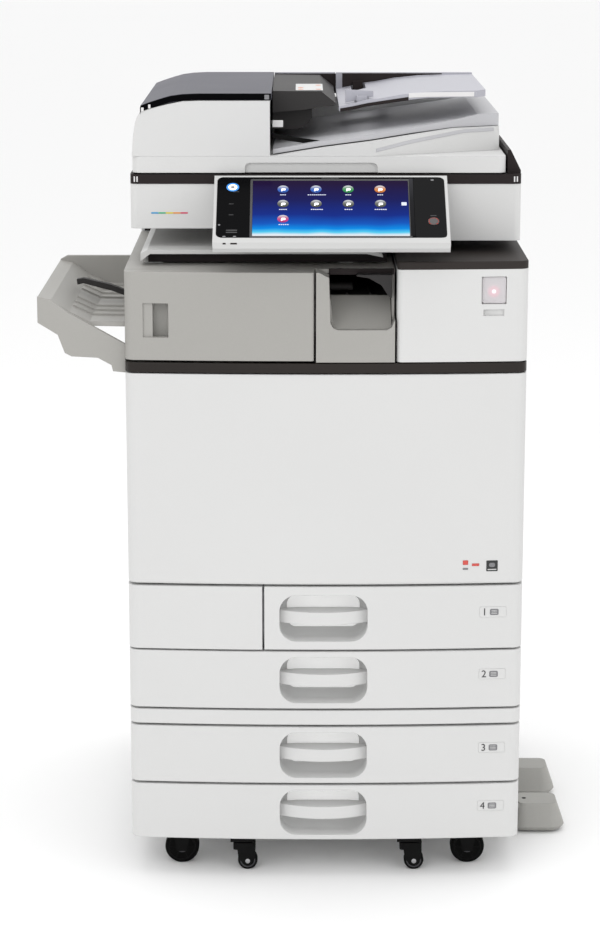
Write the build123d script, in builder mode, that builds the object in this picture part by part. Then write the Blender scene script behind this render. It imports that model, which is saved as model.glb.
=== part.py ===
from build123d import *
import os

os.makedirs("parts", exist_ok=True)

# A floor-standing colour photocopier. Sizes are millimetres, +Z up, the floor at z = 0.
# X is measured from the cabinet's centre line, U is the depth behind the front cover's edge;
# place() shifts both into the shared frame, whose origin is under the middle of the whole machine.

# overall sizes
body_width = 587.0
half = body_width / 2
rear_u = 672.0
tray_reach = 127.5
foot_reach = 89.5
panel_reach = 48.0
cab_x = (tray_reach - foot_reach) / 2
front_y = -(rear_u - panel_reach) / 2

# front covers
crown = 11.0
corner = 16.0
cover_back = 24.0
shell_front = 26.0
edge_soft = 1.5
hinge_round = 4.0

# levels, measured up from the floor under standard wheels
base_z = 58.0
tray_levels = {4: (60.0, 146.5), 3: (150.0, 238.5), 2: (267.5, 356.5), 1: (359.5, 456.5)}
tray_sides = {4: (-half, half), 3: (-half, half), 2: (-half, half), 1: (-91.0, half)}
bank_top = 240.0
main_bottom = 241.0
strip_top = 265.0
door_bottom = 459.5
door_top = 776.5
trim_bottom = 778.5
trim_top = 793.0
waist_z = 794.5
finisher_top = 926.0
tower_top = 930.0
cap_top = 941.6
scanner_bottom = 958.0
scanner_top = 1042.0
platen_top = 1056.0
adf_bottom = 1058.0
adf_deck = 1082.0
adf_top = 1174.0

# widths across the upper front
finisher_left = -half
door_split = -17.7
exit_left = -14.7
exit_right = 99.8
tower_left = 102.7

# fits
pin_clearance = 0.05
run_gap = 1.0
skin = 9.5
frame_half = half - skin

# handles
handle_x = -3.0
recess_w = 131.0
recess_h = 71.0
recess_r = 25.0
recess_back = 34.0
bar_h = 19.0
bar_half = recess_w / 2 + 2.5
pocket_half = recess_w / 2 + 4.5
pocket_back = 40.0

# trays and the bays they run in
tray_wall = 3.0
tray_gap = 8.0
bank_wall = 12.5
bank_bay = half - bank_wall
frame_wall = 2.5
frame_bay = frame_half - frame_wall
tray_half = frame_bay - tray_gap
tray_front_u = 50.0
tray_rear_u = rear_u - 112.0

# chassis depth
frame_rear = rear_u - 12.0
bay_rear = frame_rear - 2.5
rear_block_u = rear_u - 232.0
engine_half = frame_bay - 1.0
engine_back = 420.0

# casters; floor_z is the floor in the levels' own measure, so larger wheels lift the whole machine
big_r = 26.0
wheel_headroom = 6.0
floor_z = base_z - 2 * big_r - wheel_headroom
big_x = half - 74.0
big_us = (58.0, rear_u - 72.0)
big_w = 20.0
axle_r = 4.0
small_r = 15.0
small_x = half - 166.5
small_u = 27.0
small_w = 14.0
small_axle_r = 3.0
trail = 9.0
stem_r = 5.0

# scanner and document feeder
scanner_half = half - 5.5
scanner_u = 96.0
scanner_rear = rear_u - 22.0
rod_r = 4.0
rod_us = (140.0, scanner_rear - 180.0)
rod_z = 1018.0
adf_pin_u = rear_u - 12.0
adf_pin_z = 1068.0
adf_pin_r = 5.0
adf_left = 8.5 - half
adf_right = half - 28.5
adf_front = 97.0
adf_rear = scanner_rear - 10.0
box_rear = scanner_rear - 125.0
adf_split = -82.0

# operation panel
panel_x0 = -163.0
panel_x1 = 177.0
panel_low = (-45.0, 974.0)
panel_high = (78.0, 1056.0)
panel_pin_u = 78.0
panel_pin_z = 1018.0
panel_pin_r = 4.0
key_x = 154.0
key_s = 46.0
key_r = 8.0


def place(x, u, z):
    return (cab_x + x, front_y + u, z - floor_z)


def block(x0, x1, u0, u1, z0, z1, mode=Mode.ADD):
    with Locations(place((x0 + x1) / 2, (u0 + u1) / 2, (z0 + z1) / 2)):
        Box(x1 - x0, u1 - u0, z1 - z0, mode=mode)


def depth_prism(points, u0, u1, mode=Mode.ADD):
    face_plane = Plane(origin=place(0, u1, 0), x_dir=(1, 0, 0), z_dir=(0, -1, 0))
    with BuildSketch(face_plane) as outline:
        with BuildLine():
            Polyline(*points, close=True)
        make_face()
    extrude(outline.sketch, amount=u1 - u0, mode=mode)


def side_prism(points, x0, x1, mode=Mode.ADD):
    face_plane = Plane(origin=place(x0, 0, 0), x_dir=(0, 1, 0), z_dir=(1, 0, 0))
    with BuildSketch(face_plane) as outline:
        with BuildLine():
            Polyline(*points, close=True)
        make_face()
    extrude(outline.sketch, amount=x1 - x0, mode=mode)


def plan_prism(points, z0, z1, mode=Mode.ADD):
    with BuildSketch(Plane(origin=place(0, 0, z0))) as outline:
        with BuildLine():
            Polyline(*points, close=True)
        make_face()
    extrude(outline.sketch, amount=z1 - z0, mode=mode)


def rod_u(x, z, r, u0, u1, mode=Mode.ADD):
    with Locations(Location(place(x, (u0 + u1) / 2, z), (90, 0, 0))):
        Cylinder(r, u1 - u0, mode=mode)


def rod_x(u, z, r, x0, x1, mode=Mode.ADD):
    with Locations(Location(place((x0 + x1) / 2, u, z), (0, 90, 0))):
        Cylinder(r, x1 - x0, mode=mode)


def post(x, u, r, z0, z1, mode=Mode.ADD):
    with Locations(place(x, u, (z0 + z1) / 2)):
        Cylinder(r, z1 - z0, mode=mode)


def crowned(z0, z1, back, mode=Mode.ADD):
    # full-width front whose face bows gently forward, with rounded upright corners
    dip = corner * 0.2929
    with BuildSketch(Plane(origin=place(0, 0, z0))) as outline:
        with BuildLine():
            Polyline((-half, corner), (-half, back), (half, back), (half, corner))
            ThreePointArc((half, corner), (half - dip, dip), (half - corner, 0))
            ThreePointArc((half - corner, 0), (0, -crown), (corner - half, 0))
            ThreePointArc((corner - half, 0), (dip - half, dip), (-half, corner))
        make_face()
    extrude(outline.sketch, amount=z1 - z0, mode=mode)


def rim_edges(piece, z, back):
    flat = piece.edges().filter_by_position(Axis.Z, z - floor_z - 0.01, z - floor_z + 0.01)
    return flat.filter_by_position(Axis.Y, front_y - 60, front_y + back - 0.5)


def face_u(x):
    # depth of the bowed front face at x
    return -crown * (1 - (x / (half - corner)) ** 2)


# the hollow behind each tray's grip
with BuildPart() as recess_tool:
    with BuildSketch(Plane(origin=(0, 0, 0), x_dir=(1, 0, 0), z_dir=(0, -1, 0))) as recess_face:
        RectangleRounded(recess_w, recess_h, recess_r)
    extrude(recess_face.sketch, amount=60.0)
    fillet(recess_tool.edges().group_by(Axis.Y)[-1], radius=16.0)

# ---------------------------------------------------------------- paper bank
with BuildPart() as bank_cabinet:
    block(-half, half, shell_front, rear_u - 4, base_z, bank_top)
    block(-bank_bay, bank_bay, 0, rear_u - 12, 64, 148, Mode.SUBTRACT)
    block(-bank_bay, bank_bay, 0, rear_u - 12, 152, 233.5, Mode.SUBTRACT)
    fillet(bank_cabinet.edges().filter_by(Axis.Z).group_by(Axis.Y)[-1], radius=6.0)
bank_cabinet.part.label = "bank_cabinet"
export_step(bank_cabinet.part, "parts/bank_cabinet.step")

# ---------------------------------------------------------------- main chassis
with BuildPart() as main_frame:
    block(-frame_half, frame_half, shell_front, frame_rear, main_bottom, trim_top)
    block(-frame_bay, frame_bay, 0, bay_rear, strip_top, 357.0, Mode.SUBTRACT)
    block(-91, frame_bay, 0, bay_rear, 359.0, 457.5, Mode.SUBTRACT)
    block(-frame_bay, -95, 40, bay_rear, 359.0, 457.5, Mode.SUBTRACT)
    block(-engine_half, engine_half, 0, engine_back, 459.5, 775, Mode.SUBTRACT)
    block(-engine_half, engine_half, 40, bay_rear, 777, 791, Mode.SUBTRACT)
    block(-frame_bay, frame_bay, engine_back + 2.5, bay_rear, 459.5, 775, Mode.SUBTRACT)
    block(-frame_bay, frame_bay, 40, bay_rear, 243, 263, Mode.SUBTRACT)
    block(3.5 - half, half - 3.5, rear_block_u, frame_rear, trim_top, scanner_bottom)
    block(
        5.5 - half, half - 5.5, rear_block_u + 2, frame_rear - 2, trim_top, scanner_bottom - 2,
        Mode.SUBTRACT,
    )
main_frame.part.label = "main_frame"
export_step(main_frame.part, "parts/main_frame.step")

with BuildPart() as left_cover:
    block(-half, -frame_half, shell_front, frame_rear + 4, main_bottom + 1, trim_top)
    fillet(left_cover.edges().filter_by(Axis.Z).group_by(Axis.X)[0], radius=5.0)
    for z in (300, 318, 336, 354, 372, 390):
        block(-half - 1, -half + 2.5, 430, 610, z, z + 7, Mode.SUBTRACT)
left_cover.part.label = "left_cover"
export_step(left_cover.part, "parts/left_cover.step")

side_u0, side_u1, side_z0, side_z1 = 70.0, tray_rear_u, 290.0, 770.0
side_door_t = 8.0
bypass_round = 2.0
bypass_u0, bypass_u1 = side_u0 + 50, side_u1 - 90
bypass_mid = (bypass_u0 + bypass_u1) / 2
with BuildPart() as right_cover:
    block(frame_half, half, shell_front, frame_rear + 4, main_bottom + 1, trim_top)
    block(frame_half - 1, half + 1, side_u0 - 2, side_u1 + 2, side_z0 - 3, side_z1 + 3, Mode.SUBTRACT)
right_cover.part.label = "right_cover"
export_step(right_cover.part, "parts/right_cover.step")

with BuildPart() as right_door:
    block(half - side_door_t, half, side_u0, side_u1, side_z0, side_z1)
    low_edge = right_door.edges().filter_by(Axis.Y).group_by(Axis.X)[-1].sort_by(Axis.Z)[0]
    fillet(low_edge, radius=hinge_round)
    low_edge = right_door.edges().filter_by(Axis.Y).group_by(Axis.X)[0].sort_by(Axis.Z)[0]
    fillet(low_edge, radius=hinge_round - 1)
    block(half - 5.5, half + 1, bypass_u0 - 2, bypass_u1 + 2, 558, 742, Mode.SUBTRACT)
    block(half - 5, half + 1, side_u1 - 60, side_u1 - 20, 640, 720, Mode.SUBTRACT)
right_door.part.label = "right_door"
export_step(right_door.part, "parts/right_door.step")

with BuildPart() as bypass_tray:
    block(half - 4, half, bypass_u0, bypass_u1, 561, 740)
    low_edge = bypass_tray.edges().filter_by(Axis.Y).group_by(Axis.X)[-1].sort_by(Axis.Z)[0]
    fillet(low_edge, radius=bypass_round)
    block(half - 2, half + 1, bypass_mid - 30, bypass_mid + 30, 722, 741, Mode.SUBTRACT)
bypass_tray.part.label = "bypass_tray"
export_step(bypass_tray.part, "parts/bypass_tray.step")

with BuildPart() as rear_cover:
    block(-frame_half, frame_half, frame_rear, rear_u, main_bottom + 1, 950)
    fillet(rear_cover.edges().filter_by(Axis.Z).group_by(Axis.Y)[-1], radius=6.0)
    for x in (-220, -204, -188, -172, -156, -140, -124, -108):
        block(x, x + 8, rear_u - 6, rear_u + 1, 640, 760, Mode.SUBTRACT)
    block(180, 232, frame_rear - 5, rear_u + 1, 268, 304, Mode.SUBTRACT)
rear_cover.part.label = "rear_cover"
export_step(rear_cover.part, "parts/rear_cover.step")

with BuildPart() as power_inlet:
    block(180.5, 231.5, frame_rear, rear_u - 1, 268.5, 303.5)
    block(186, 226, frame_rear + 2, rear_u, 274, 298, Mode.SUBTRACT)
    for x, z in ((197, 283), (206, 290), (215, 283)):
        block(x - 1, x + 1, frame_rear, rear_u - 3, z - 3, z + 3)
power_inlet.part.label = "power_inlet"
export_step(power_inlet.part, "parts/power_inlet.step")

# ---------------------------------------------------------------- fixed fronts
with BuildPart() as joint_strip:
    crowned(main_bottom + 1, strip_top - 0.5, shell_front)
    fillet(rim_edges(joint_strip, main_bottom + 1, shell_front), radius=edge_soft)
joint_strip.part.label = "joint_strip"
export_step(joint_strip.part, "parts/joint_strip.step")

with BuildPart() as lower_left_panel:
    crowned(tray_levels[1][0], tray_levels[1][1], shell_front)
    block(-half - 5, -94.0, -30, shell_front, 350, 470, Mode.INTERSECT)
    fillet(lower_left_panel.edges().filter_by(Axis.Z).group_by(Axis.X)[-1].sort_by(Axis.Y)[0], radius=1.2)
lower_left_panel.part.label = "lower_left_panel"
export_step(lower_left_panel.part, "parts/lower_left_panel.step")

with BuildPart() as waist_trim:
    crowned(trim_bottom, trim_top, shell_front)
    fillet(rim_edges(waist_trim, trim_top, shell_front), radius=1.0)
waist_trim.part.label = "waist_trim"
export_step(waist_trim.part, "parts/waist_trim.step")

# ---------------------------------------------------------------- trays
fronts = {}
boxes = {}
for number in (1, 2, 3, 4):
    low, high = tray_levels[number]
    left, right = tray_sides[number]
    mid = (low + high) / 2
    with BuildPart() as tray_front:
        crowned(low, high, cover_back)
        fillet(rim_edges(tray_front, low, cover_back), radius=edge_soft)
        fillet(rim_edges(tray_front, high, cover_back), radius=edge_soft)
        if number == 1:
            block(left, right + 5, -30, cover_back, low - 1, high + 1, Mode.INTERSECT)
        block(
            handle_x - pocket_half, handle_x + pocket_half, cover_back - 1, pocket_back,
            mid - 37.5, mid + 37.5,
        )
        add(recess_tool.part.moved(Location(place(handle_x, recess_back, mid))), mode=Mode.SUBTRACT)
        with BuildSketch(Plane(origin=place(handle_x, 0, mid - bar_h / 2))) as bar_plan:
            with BuildLine():
                ThreePointArc((-bar_half, 6), (0, -13), (bar_half, 6))
                Polyline(
                    (bar_half, 6), (bar_half, 14), (bar_half - 28, 20), (28 - bar_half, 20), (-bar_half, 14),
                    (-bar_half, 6),
                )
            make_face()
        extrude(bar_plan.sketch, amount=bar_h)
    tray_front.part.label = "tray_front_%d" % number
    export_step(tray_front.part, "parts/tray_front_%d.step" % number)
    fronts[number] = tray_front

    box_left = -84.0 if number == 1 else -tray_half
    box_low = 71.0 if number == 4 else low + 6.0
    if number == 3:
        box_low = 157.0
    box_high = high - 12.0
    with BuildPart() as tray_box:
        block(box_left, tray_half, tray_front_u, tray_rear_u, box_low, box_high)
        block(
            box_left + tray_wall, tray_half - tray_wall, tray_front_u + tray_wall, tray_rear_u - tray_wall,
            box_low + tray_wall, box_high + 1, Mode.SUBTRACT,
        )
        block(handle_x - 60, handle_x + 60, pocket_back, tray_front_u, mid - 28, mid + 24)
    tray_box.part.label = "tray_box_%d" % number
    export_step(tray_box.part, "parts/tray_box_%d.step" % number)
    boxes[number] = tray_box

# ---------------------------------------------------------------- front door and what it hides
with BuildPart() as front_door:
    crowned(door_bottom, door_top, cover_back)
    fillet(rim_edges(front_door, door_bottom, cover_back), radius=hinge_round)
    fillet(rim_edges(front_door, door_top, cover_back), radius=edge_soft)
    block(-half + 8, half - 8, 6, cover_back + 1, door_bottom + 10, door_top - 10, Mode.SUBTRACT)
front_door.part.label = "front_door"
export_step(front_door.part, "parts/front_door.step")

with BuildPart() as toner_bottles:
    for x in (-195, -75, 45, 165):
        rod_u(x, 722, 34, 60, engine_back)
        rod_u(x, 722, 24, 40, 60)
toner_bottles.part.label = "toner_bottles"
export_step(toner_bottles.part, "parts/toner_bottles.step")

with BuildPart() as drum_units:
    for x in (-185, -85, 15, 115):
        block(x - 36, x + 36, 60, engine_back, 560, 628)
        rod_u(x, 628, 15, 60, engine_back)
        block(x - 14, x + 14, 46, 60, 574, 600)
drum_units.part.label = "drum_units"
export_step(drum_units.part, "parts/drum_units.step")

with BuildPart() as fuser_unit:
    block(206, 268, 60, engine_back, 560, 676)
    fillet(fuser_unit.edges().filter_by(Axis.Y), radius=8.0)
    block(226, 250, 44, 60, 600, 624)
fuser_unit.part.label = "fuser_unit"
export_step(fuser_unit.part, "parts/fuser_unit.step")

# ---------------------------------------------------------------- finisher on the left
with BuildPart() as finisher_housing:
    block(finisher_left, exit_right, shell_front, rear_block_u, waist_z, finisher_top)
    block(finisher_left + 4, -24, 0, rear_block_u - 6, waist_z + 6, finisher_top - 6, Mode.SUBTRACT)
    block(-20, exit_right - 4, 0, rear_block_u - 6, waist_z + 6, 832, Mode.SUBTRACT)
    block(0, exit_right - 4, 0, rear_block_u - 6, 836, finisher_top - 6, Mode.SUBTRACT)
    block(finisher_left - 1, finisher_left + 5, 40, 390, 866, 902, Mode.SUBTRACT)
finisher_housing.part.label = "finisher_housing"
export_step(finisher_housing.part, "parts/finisher_housing.step")

with BuildPart() as finisher_exit_cover:
    crowned(waist_z, finisher_top, shell_front)
    block(exit_left, exit_right, -30, shell_front, waist_z - 1, finisher_top + 1, Mode.INTERSECT)
    depth_prism(
        ((4, 920), (6, 852), (10, 845), (17, 842), (88, 842), (95, 846), (101, 860), (101, 930), (4, 930)),
        -40, shell_front + 1, Mode.SUBTRACT,
    )
    depth_prism(((-15, 928), (5, 918), (5, 930), (-15, 930)), -40, shell_front + 1, Mode.SUBTRACT)
    scoop = ((-6, 840), (2, 842), (60, 882), (66, 882), (66, 878), (26, 838), (-4, 838))
    side_prism(scoop, 3, exit_right - 5)
    depth_prism(((3, 838), (20, 838), (10, 852), (6, 884), (3, 884)), 12, 66)
finisher_exit_cover.part.label = "finisher_exit_cover"
export_step(finisher_exit_cover.part, "parts/finisher_exit_cover.step")

with BuildPart() as finisher_door:
    crowned(waist_z + 2, finisher_top, cover_back)
    block(-half - 5, door_split, -30, cover_back, waist_z, finisher_top + 1, Mode.INTERSECT)
    swing_edge = finisher_door.edges().filter_by(Axis.Z).group_by(Axis.X)[-1].sort_by(Axis.Y)[0]
    fillet(swing_edge, radius=hinge_round)
    fillet(rim_edges(finisher_door, finisher_top, cover_back), radius=1.0)
    block(-half + 8, door_split - 12, 6, cover_back + 1, waist_z + 12, finisher_top - 12, Mode.SUBTRACT)
    block(-272, -220, 0, 22, 824, 886)
    block(-266, -229, -20, 18, 830, 880, Mode.SUBTRACT)
    block(-266, -252, face_u(-259) + 3, 18, 830, 880)
finisher_door.part.label = "finisher_door"
export_step(finisher_door.part, "parts/finisher_door.step")

with BuildPart() as inner_tray:
    depth_prism(
        ((-272, 932), (-272, 944), (-262, 949), (60, 949), (82, 943), (84, 938), (60, 943), (-258, 943)),
        60, rear_block_u,
    )
    block(-268, -240, 90, rear_block_u - 10, finisher_top, 935)
    block(20, 40, 90, rear_block_u - 10, finisher_top, 944)
inner_tray.part.label = "inner_tray"
export_step(inner_tray.part, "parts/inner_tray.step")

with BuildPart() as paper_exit_guide:
    depth_prism(
        ((44, 920), (exit_right - 4.5, 920), (exit_right - 4.5, 886), (91, 888), (80, 905), (62, 915),
         (44, 918)),
        8, 220,
    )
    block(0, exit_right - 4, 67, 300, 874, 880)
    for x in (30, 64):
        block(x, x + 3, 70, 300, 880, 884)
    for u in (90, 104):
        rod_x(u, 890, 5, 0.5, 40)
paper_exit_guide.part.label = "paper_exit_guide"
export_step(paper_exit_guide.part, "parts/paper_exit_guide.step")

tray_end = -half - tray_reach
with BuildPart() as output_tray:
    under = (
        (tray_end, 848), (tray_end + 29, 830), (tray_end + 39, 803), (tray_end + 49, 798),
        (tray_end + 87, 796), (tray_end + 107, 785), (tray_end + 109, 776), (-half, 774),
    )
    depth_prism(under + ((-half, 816), (tray_end + 46, 862), (tray_end + 20, 882), (tray_end, 886)), 20, 28)
    depth_prism(under + ((-half, 892), (tray_end + 11, 892), (tray_end, 886)), 402, 410)
    floor_top = (
        (-half, 848), (tray_end + 76, 849), (tray_end + 46, 863), (tray_end + 20, 881), (tray_end, 885),
    )
    floor_under = (
        (tray_end, 846), (tray_end + 14, 839), (tray_end + 26, 868), (tray_end + 48, 855),
        (tray_end + 77, 842), (-half, 841),
    )
    depth_prism(floor_top + floor_under, 28, 402)
    for u in (80, 120, 160, 240, 280, 320, 360):
        rib = ((-half, 848), (-half, 851), (tray_end + 76, 852), (tray_end + 48, 865), (tray_end + 44, 862),
               (tray_end + 76, 848))
        depth_prism(rib, u, u + 4)
output_tray.part.label = "output_tray"
export_step(output_tray.part, "parts/output_tray.step")

feeler_x, feeler_z = -half - 5.5, 860.0
with BuildPart() as feeler_arm:
    rod_u(feeler_x, feeler_z, 4, 200, 228)
    depth_prism(
        ((feeler_x, 864), (feeler_x, 856), (feeler_x - 28, 866), (feeler_x - 70, 877), (feeler_x - 79, 875),
         (feeler_x - 80, 883), (feeler_x - 70, 885), (feeler_x - 28, 875)),
        208, 220,
    )
feeler_arm.part.label = "feeler_arm"
export_step(feeler_arm.part, "parts/feeler_arm.step")

# ---------------------------------------------------------------- tower on the right
window_x, window_z = half - 50.5, 899.0
with BuildPart() as tower_cover:
    crowned(waist_z, tower_top, rear_block_u)
    block(tower_left, half + 1, -30, rear_block_u, waist_z - 1, tower_top + 1, Mode.INTERSECT)
    fillet(tower_cover.edges().filter_by(Axis.Z).group_by(Axis.X)[0].sort_by(Axis.Y)[0], radius=8.0)
    block(tower_left + 4, half - 4, 10, rear_block_u - 4, waist_z + 4, tower_top - 4, Mode.SUBTRACT)
    block(window_x - 23, window_x + 23, 4, 20, window_z - 25, tower_top - 3)
    block(window_x - 18, window_x + 18, -20, 16, window_z - 20, window_z + 20, Mode.SUBTRACT)
    block(window_x - 15, window_x + 15, -20, 1.5, window_z - 37, window_z - 28, Mode.SUBTRACT)
    block(tower_left + 17, half - 13.5, 230, rear_block_u, tower_top - 4, scanner_bottom)
    block(tower_left + 20, half - 17, 234, rear_block_u - 4, waist_z + 4, scanner_bottom - 4, Mode.SUBTRACT)
tower_cover.part.label = "tower_cover"
export_step(tower_cover.part, "parts/tower_cover.step")

with BuildPart() as tower_cap:
    crowned(tower_top, cap_top, 228)
    block(tower_left, half + 1, -30, 229, tower_top - 1, cap_top + 1, Mode.INTERSECT)
    fillet(tower_cap.edges().filter_by(Axis.Z).group_by(Axis.X)[0].sort_by(Axis.Y)[0], radius=8.0)
    fillet(rim_edges(tower_cap, cap_top, 227), radius=2.0)
tower_cap.part.label = "tower_cap"
export_step(tower_cap.part, "parts/tower_cap.step")

with BuildPart() as power_cover:
    block(window_x - 17, window_x + 17, 0, 2, window_z - 19, window_z + 19)
    fillet(power_cover.edges().filter_by(Axis.Y), radius=3.0)
power_cover.part.label = "power_cover"
export_step(power_cover.part, "parts/power_cover.step")

with BuildPart() as power_switch:
    block(window_x - 9, window_x + 9, 5, 12, window_z - 8, window_z + 8)
    fillet(power_switch.edges().filter_by(Axis.Y), radius=6.0)
power_switch.part.label = "power_switch"
export_step(power_switch.part, "parts/power_switch.step")

# ---------------------------------------------------------------- scanner
with BuildPart() as scanner_housing:
    block(-scanner_half, scanner_half, scanner_u, scanner_rear, scanner_bottom, scanner_top)
    fillet(scanner_housing.edges().filter_by(Axis.Z).group_by(Axis.Y)[0], radius=10.0)
    scan_bay = scanner_half - 5
    block(
        -scan_bay, scan_bay, scanner_u + 5, scanner_rear - 5, scanner_bottom + 4, scanner_top + 1,
        Mode.SUBTRACT,
    )
    step_x = -104.0
    step_z = scanner_bottom + 18
    block(
        -scanner_half - 1, step_x, scanner_u - 1, rear_block_u, scanner_bottom - 1, step_z, Mode.SUBTRACT,
    )
    block(-scan_bay - 1, step_x + 3, scanner_u + 4, rear_block_u + 3, step_z, step_z + 3)
    block(step_x, step_x + 3, scanner_u + 4, rear_block_u + 3, scanner_bottom, step_z + 3)
    block(-scan_bay - 1, step_x + 3, rear_block_u, rear_block_u + 3, scanner_bottom, step_z + 3)
    for u in rod_us:
        rod_x(u, rod_z, rod_r, -scan_bay - 1, scan_bay + 1)
    for side in (-1, 1):
        for x in (165, 189):
            block(side * (x + 3) - 3, side * (x + 3) + 3, scanner_rear - 1, rear_u, 990, 1078)
        rod_x(adf_pin_u, adf_pin_z, adf_pin_r, side * 180 - 12, side * 180 + 12)
        block(side * 180 - 15, side * 180 + 15, scanner_rear - 1, scanner_rear + 5, 990, 1036)
    for x in (-60, 66):
        side_prism(((71, 1014), (76, 1011), (97, 1000), (97, 1030), (86, 1025), (71, 1024)), x, x + 8)
    rod_x(panel_pin_u, panel_pin_z, panel_pin_r, -55, 69)
scanner_housing.part.label = "scanner_housing"
export_step(scanner_housing.part, "parts/scanner_housing.step")

glass_x0, glass_x1, glass_u0, glass_u1 = -228.0, 214.0, 150.0, 462.0
slit_x0, slit_x1 = -264.0, -242.0
with BuildPart() as platen_frame:
    block(-scanner_half, scanner_half, scanner_u - 1, scanner_rear - 1.5, scanner_top, platen_top)
    fillet(platen_frame.edges().filter_by(Axis.Z).group_by(Axis.Y)[0], radius=10.0)
    for x0, x1 in ((glass_x0, glass_x1), (slit_x0, slit_x1)):
        block(x0 + 4, x1 - 4, glass_u0 + 4, glass_u1 - 4, scanner_top - 1, platen_top + 1, Mode.SUBTRACT)
        block(x0, x1, glass_u0, glass_u1, platen_top - 6, platen_top + 1, Mode.SUBTRACT)
    cheek_x = adf_right + 3
    depth_prism(
        ((cheek_x, 1055), (scanner_half, 1055), (scanner_half, 1060), (cheek_x + 5, 1090), (cheek_x, 1090)),
        112, scanner_rear - 10,
    )
platen_frame.part.label = "platen_frame"
export_step(platen_frame.part, "parts/platen_frame.step")

with BuildPart() as platen_glass:
    for x0, x1 in ((glass_x0, glass_x1), (slit_x0, slit_x1)):
        block(x0 + 0.3, x1 - 0.3, glass_u0 + 0.3, glass_u1 - 0.3, platen_top - 6, platen_top - 0.4)
platen_glass.part.label = "platen_glass"
export_step(platen_glass.part, "parts/platen_glass.step")

with BuildPart() as scan_carriage:
    block(-262, -206, rod_us[0] - 20, rod_us[1] + 20, 1006, 1032)
    block(-250, -218, rod_us[0] + 10, rod_us[1] - 10, 1028, 1033, Mode.SUBTRACT)
    for u in rod_us:
        rod_x(u, rod_z, rod_r + pin_clearance, -263, -205, Mode.SUBTRACT)
scan_carriage.part.label = "scan_carriage"
export_step(scan_carriage.part, "parts/scan_carriage.step")

# ---------------------------------------------------------------- document feeder
with BuildPart() as adf_base:
    block(adf_left, adf_right, adf_front, adf_rear, adf_bottom, adf_deck)
    fillet(adf_base.edges().filter_by(Axis.Z).group_by(Axis.Y)[0], radius=12.0)
    fillet(adf_base.edges().filter_by(Axis.Z).group_by(Axis.Y)[-1], radius=8.0)
    block(adf_left + 15, adf_right - 15, 120, adf_rear - 15, adf_bottom + 3, adf_deck - 3, Mode.SUBTRACT)
    depth_prism(
        ((-119, 1057), (-119, 1067), (-117, 1070.5), (-112, 1072.5), (69, 1072.5), (74, 1070.5), (76, 1067),
         (76, 1057)),
        adf_front - 1, adf_front + 5, Mode.SUBTRACT,
    )
    for side in (-1, 1):
        side_prism(
            ((adf_rear - 2, 1058.5), (adf_pin_u + 6, 1058.5), (adf_pin_u + 9, 1068), (adf_pin_u + 6, 1077),
             (adf_rear - 2, 1077)),
            side * 180 - 8, side * 180 + 8,
        )
        rod_x(adf_pin_u, adf_pin_z, adf_pin_r + pin_clearance, side * 180 - 9, side * 180 + 9, Mode.SUBTRACT)
adf_base.part.label = "adf_base"
export_step(adf_base.part, "parts/adf_base.step")

with BuildPart() as pressure_plate:
    block(-225, 211, 153, 459, platen_top + 0.3, adf_bottom)
pressure_plate.part.label = "pressure_plate"
export_step(pressure_plate.part, "parts/pressure_plate.step")

# the feeder's box, open at its right side, then a low cover behind it and the rim under the exit tray
box_curve = (
    (adf_left, adf_deck), (adf_left + 2, 1110), (adf_left + 5, 1130), (adf_left + 8, 1139),
    (adf_left + 13, 1147), (adf_left + 28, 1152), (adf_left + 50, 1157.5), (adf_left + 75, 1162.6),
    (adf_left + 99, 1163.4), (adf_split, 1163.4), (adf_split, adf_deck),
)
box_hollow = (
    (adf_left + 7, 1096), (adf_left + 9, 1120), (adf_left + 14, 1136), (adf_left + 19, 1142),
    (adf_left + 31, 1146.5), (adf_left + 53, 1152), (adf_left + 77, 1157), (adf_left + 100, 1158.4),
    (-60, 1158.4), (-60, 1096),
)
rim_right = adf_right - 4.0
with BuildPart() as adf_housing:
    plan_prism(
        ((adf_split, 97), (66, 97), (rim_right, 191), (rim_right, 206), (66, 112), (adf_split, 112)),
        adf_deck, 1140,
    )
    depth_prism(
        ((adf_split, adf_deck), (adf_split, 1083), (-75, 1083), (-4.5, 1094.4), (66, 1103.5), (128, 1110.5),
         (190, 1117), (rim_right - 6, 1117), (rim_right, 1110), (rim_right, adf_deck)),
        90, 210, Mode.INTERSECT,
    )
    block(rim_right - 8, rim_right, 198, box_rear + 2, adf_deck, 1117)
    depth_prism(box_curve, adf_front, box_rear)
    block(adf_left + 5, -60, adf_front + 5, box_rear - 5, adf_deck + 4, 1098, Mode.SUBTRACT)
    depth_prism(box_hollow, adf_front + 5, box_rear - 5, Mode.SUBTRACT)
    block(adf_left + 4, rim_right, box_rear, adf_rear, adf_deck, 1134)
    block(adf_left + 8, rim_right - 4, box_rear + 4, adf_rear - 4, adf_deck - 1, 1130, Mode.SUBTRACT)
adf_housing.part.label = "adf_housing"
export_step(adf_housing.part, "parts/adf_housing.step")

exit_line = ((adf_split + 4, 1091), (-4.5, 1103), (66, 1112.5), (128, 1120), (199, 1130), (228, 1135.5),
             (rim_right, 1135.5), (rim_right, 1117.5), (190, 1117.5), (128, 1112), (66, 1105), (-4.5, 1096),
             (adf_split + 4, 1084))
with BuildPart() as adf_exit_tray:
    depth_prism(exit_line, 113, box_rear - 1)
    plan_prism(
        ((66, 90), (66, 113), (rim_right + 1, 207.5), (rim_right + 40, 207.5), (rim_right + 40, 90)),
        1070, 1150, Mode.SUBTRACT,
    )
adf_exit_tray.part.label = "adf_exit_tray"
export_step(adf_exit_tray.part, "parts/adf_exit_tray.step")

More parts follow.
